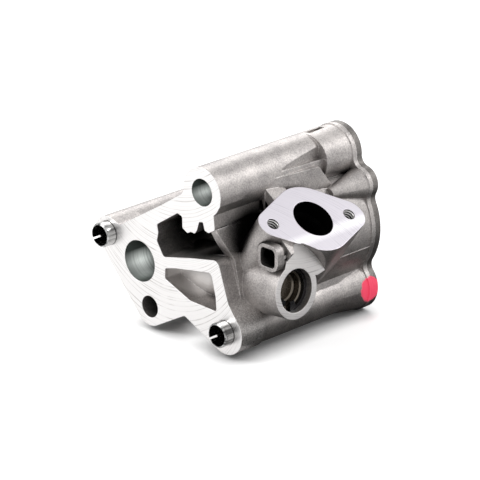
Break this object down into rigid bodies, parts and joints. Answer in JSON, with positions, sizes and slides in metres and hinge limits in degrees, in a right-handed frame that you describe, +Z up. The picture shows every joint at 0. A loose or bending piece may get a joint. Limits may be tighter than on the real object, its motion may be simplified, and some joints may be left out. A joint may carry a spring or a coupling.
{
  "type": "engine oil pump",
  "caption": "Gerotor engine oil pump in a ribbed cast aluminium body with a two-bolt pickup flange, dowelled mounting face and a spring-loaded relief valve.",
  "frame": {"origin": "lower dowel sleeve's axis on the machined mounting face", "axes": "-Y out of the mounting face, +Y to the rear cover and shaft nose, +Z up as the pump lies in the picture, +X to the relief valve's mouth"},
  "size_m": [0.0981, 0.0995, 0.0761],
  "materials": {
    "cast_aluminium": "die-cast, fine-grained, with milled faces",
    "cover_plate": "cast plate, milled on the joint",
    "ground_steel": "ground",
    "sintered_steel": "sintered, faces ground",
    "bush_bronze": "plain bearing bronze",
    "black_steel": "phosphated spring steel",
    "spring_steel": "oiled spring wire",
    "zinc_steel": "zinc plated"
  },
  "bodies": {
    "housing": {"pump_body": "cast_aluminium", "rear_cover": "cover_plate", "dowel_sleeve_lower": "ground_steel", "dowel_sleeve_left": "ground_steel", "shaft_bush_front": "bush_bronze", "shaft_bush_rear": "bush_bronze", "relief_retaining_ring": "black_steel", "relief_spring_seat": "ground_steel", "relief_spring": "spring_steel", "gallery_plug": "zinc_steel", "cover_screw_top_right": "zinc_steel", "cover_screw_top_left": "zinc_steel", "cover_screw_lower_left": "zinc_steel", "cover_screw_bottom": "zinc_steel", "cover_pin_upper": "ground_steel", "cover_pin_lower": "ground_steel"},
    "rotor_shaft": {"drive_shaft": "ground_steel", "inner_rotor": "sintered_steel", "rotor_drive_pin": "ground_steel"},
    "outer_ring": {"outer_rotor": "sintered_steel"},
    "relief_valve": {"relief_piston": "ground_steel"}
  },
  "joints": [
    {"name": "shaft_spin", "type": "hinge", "parent": "housing", "child": "rotor_shaft", "pos_m": [-0.0135, 0.053, 0.023], "axis": [0, 1, 0], "continuous": true},
    {"name": "outer_rotor_spin", "type": "hinge", "parent": "housing", "child": "outer_ring", "pos_m": [-0.0135, 0.053, 0.025], "axis": [0, 1, 0], "continuous": true},
    {"name": "relief_slide", "type": "slide", "parent": "housing", "child": "relief_valve", "axis": [0.9962, 0, 0.0872], "range_m": [0, 0.009], "stiffness_N_per_m": 5000, "springref_m": -0.016, "deforming": ["relief_spring"]}
  ],
  "couplings": [
    {"joint": "outer_rotor_spin", "follows": "shaft_spin", "ratio": 0.85714}
  ]
}
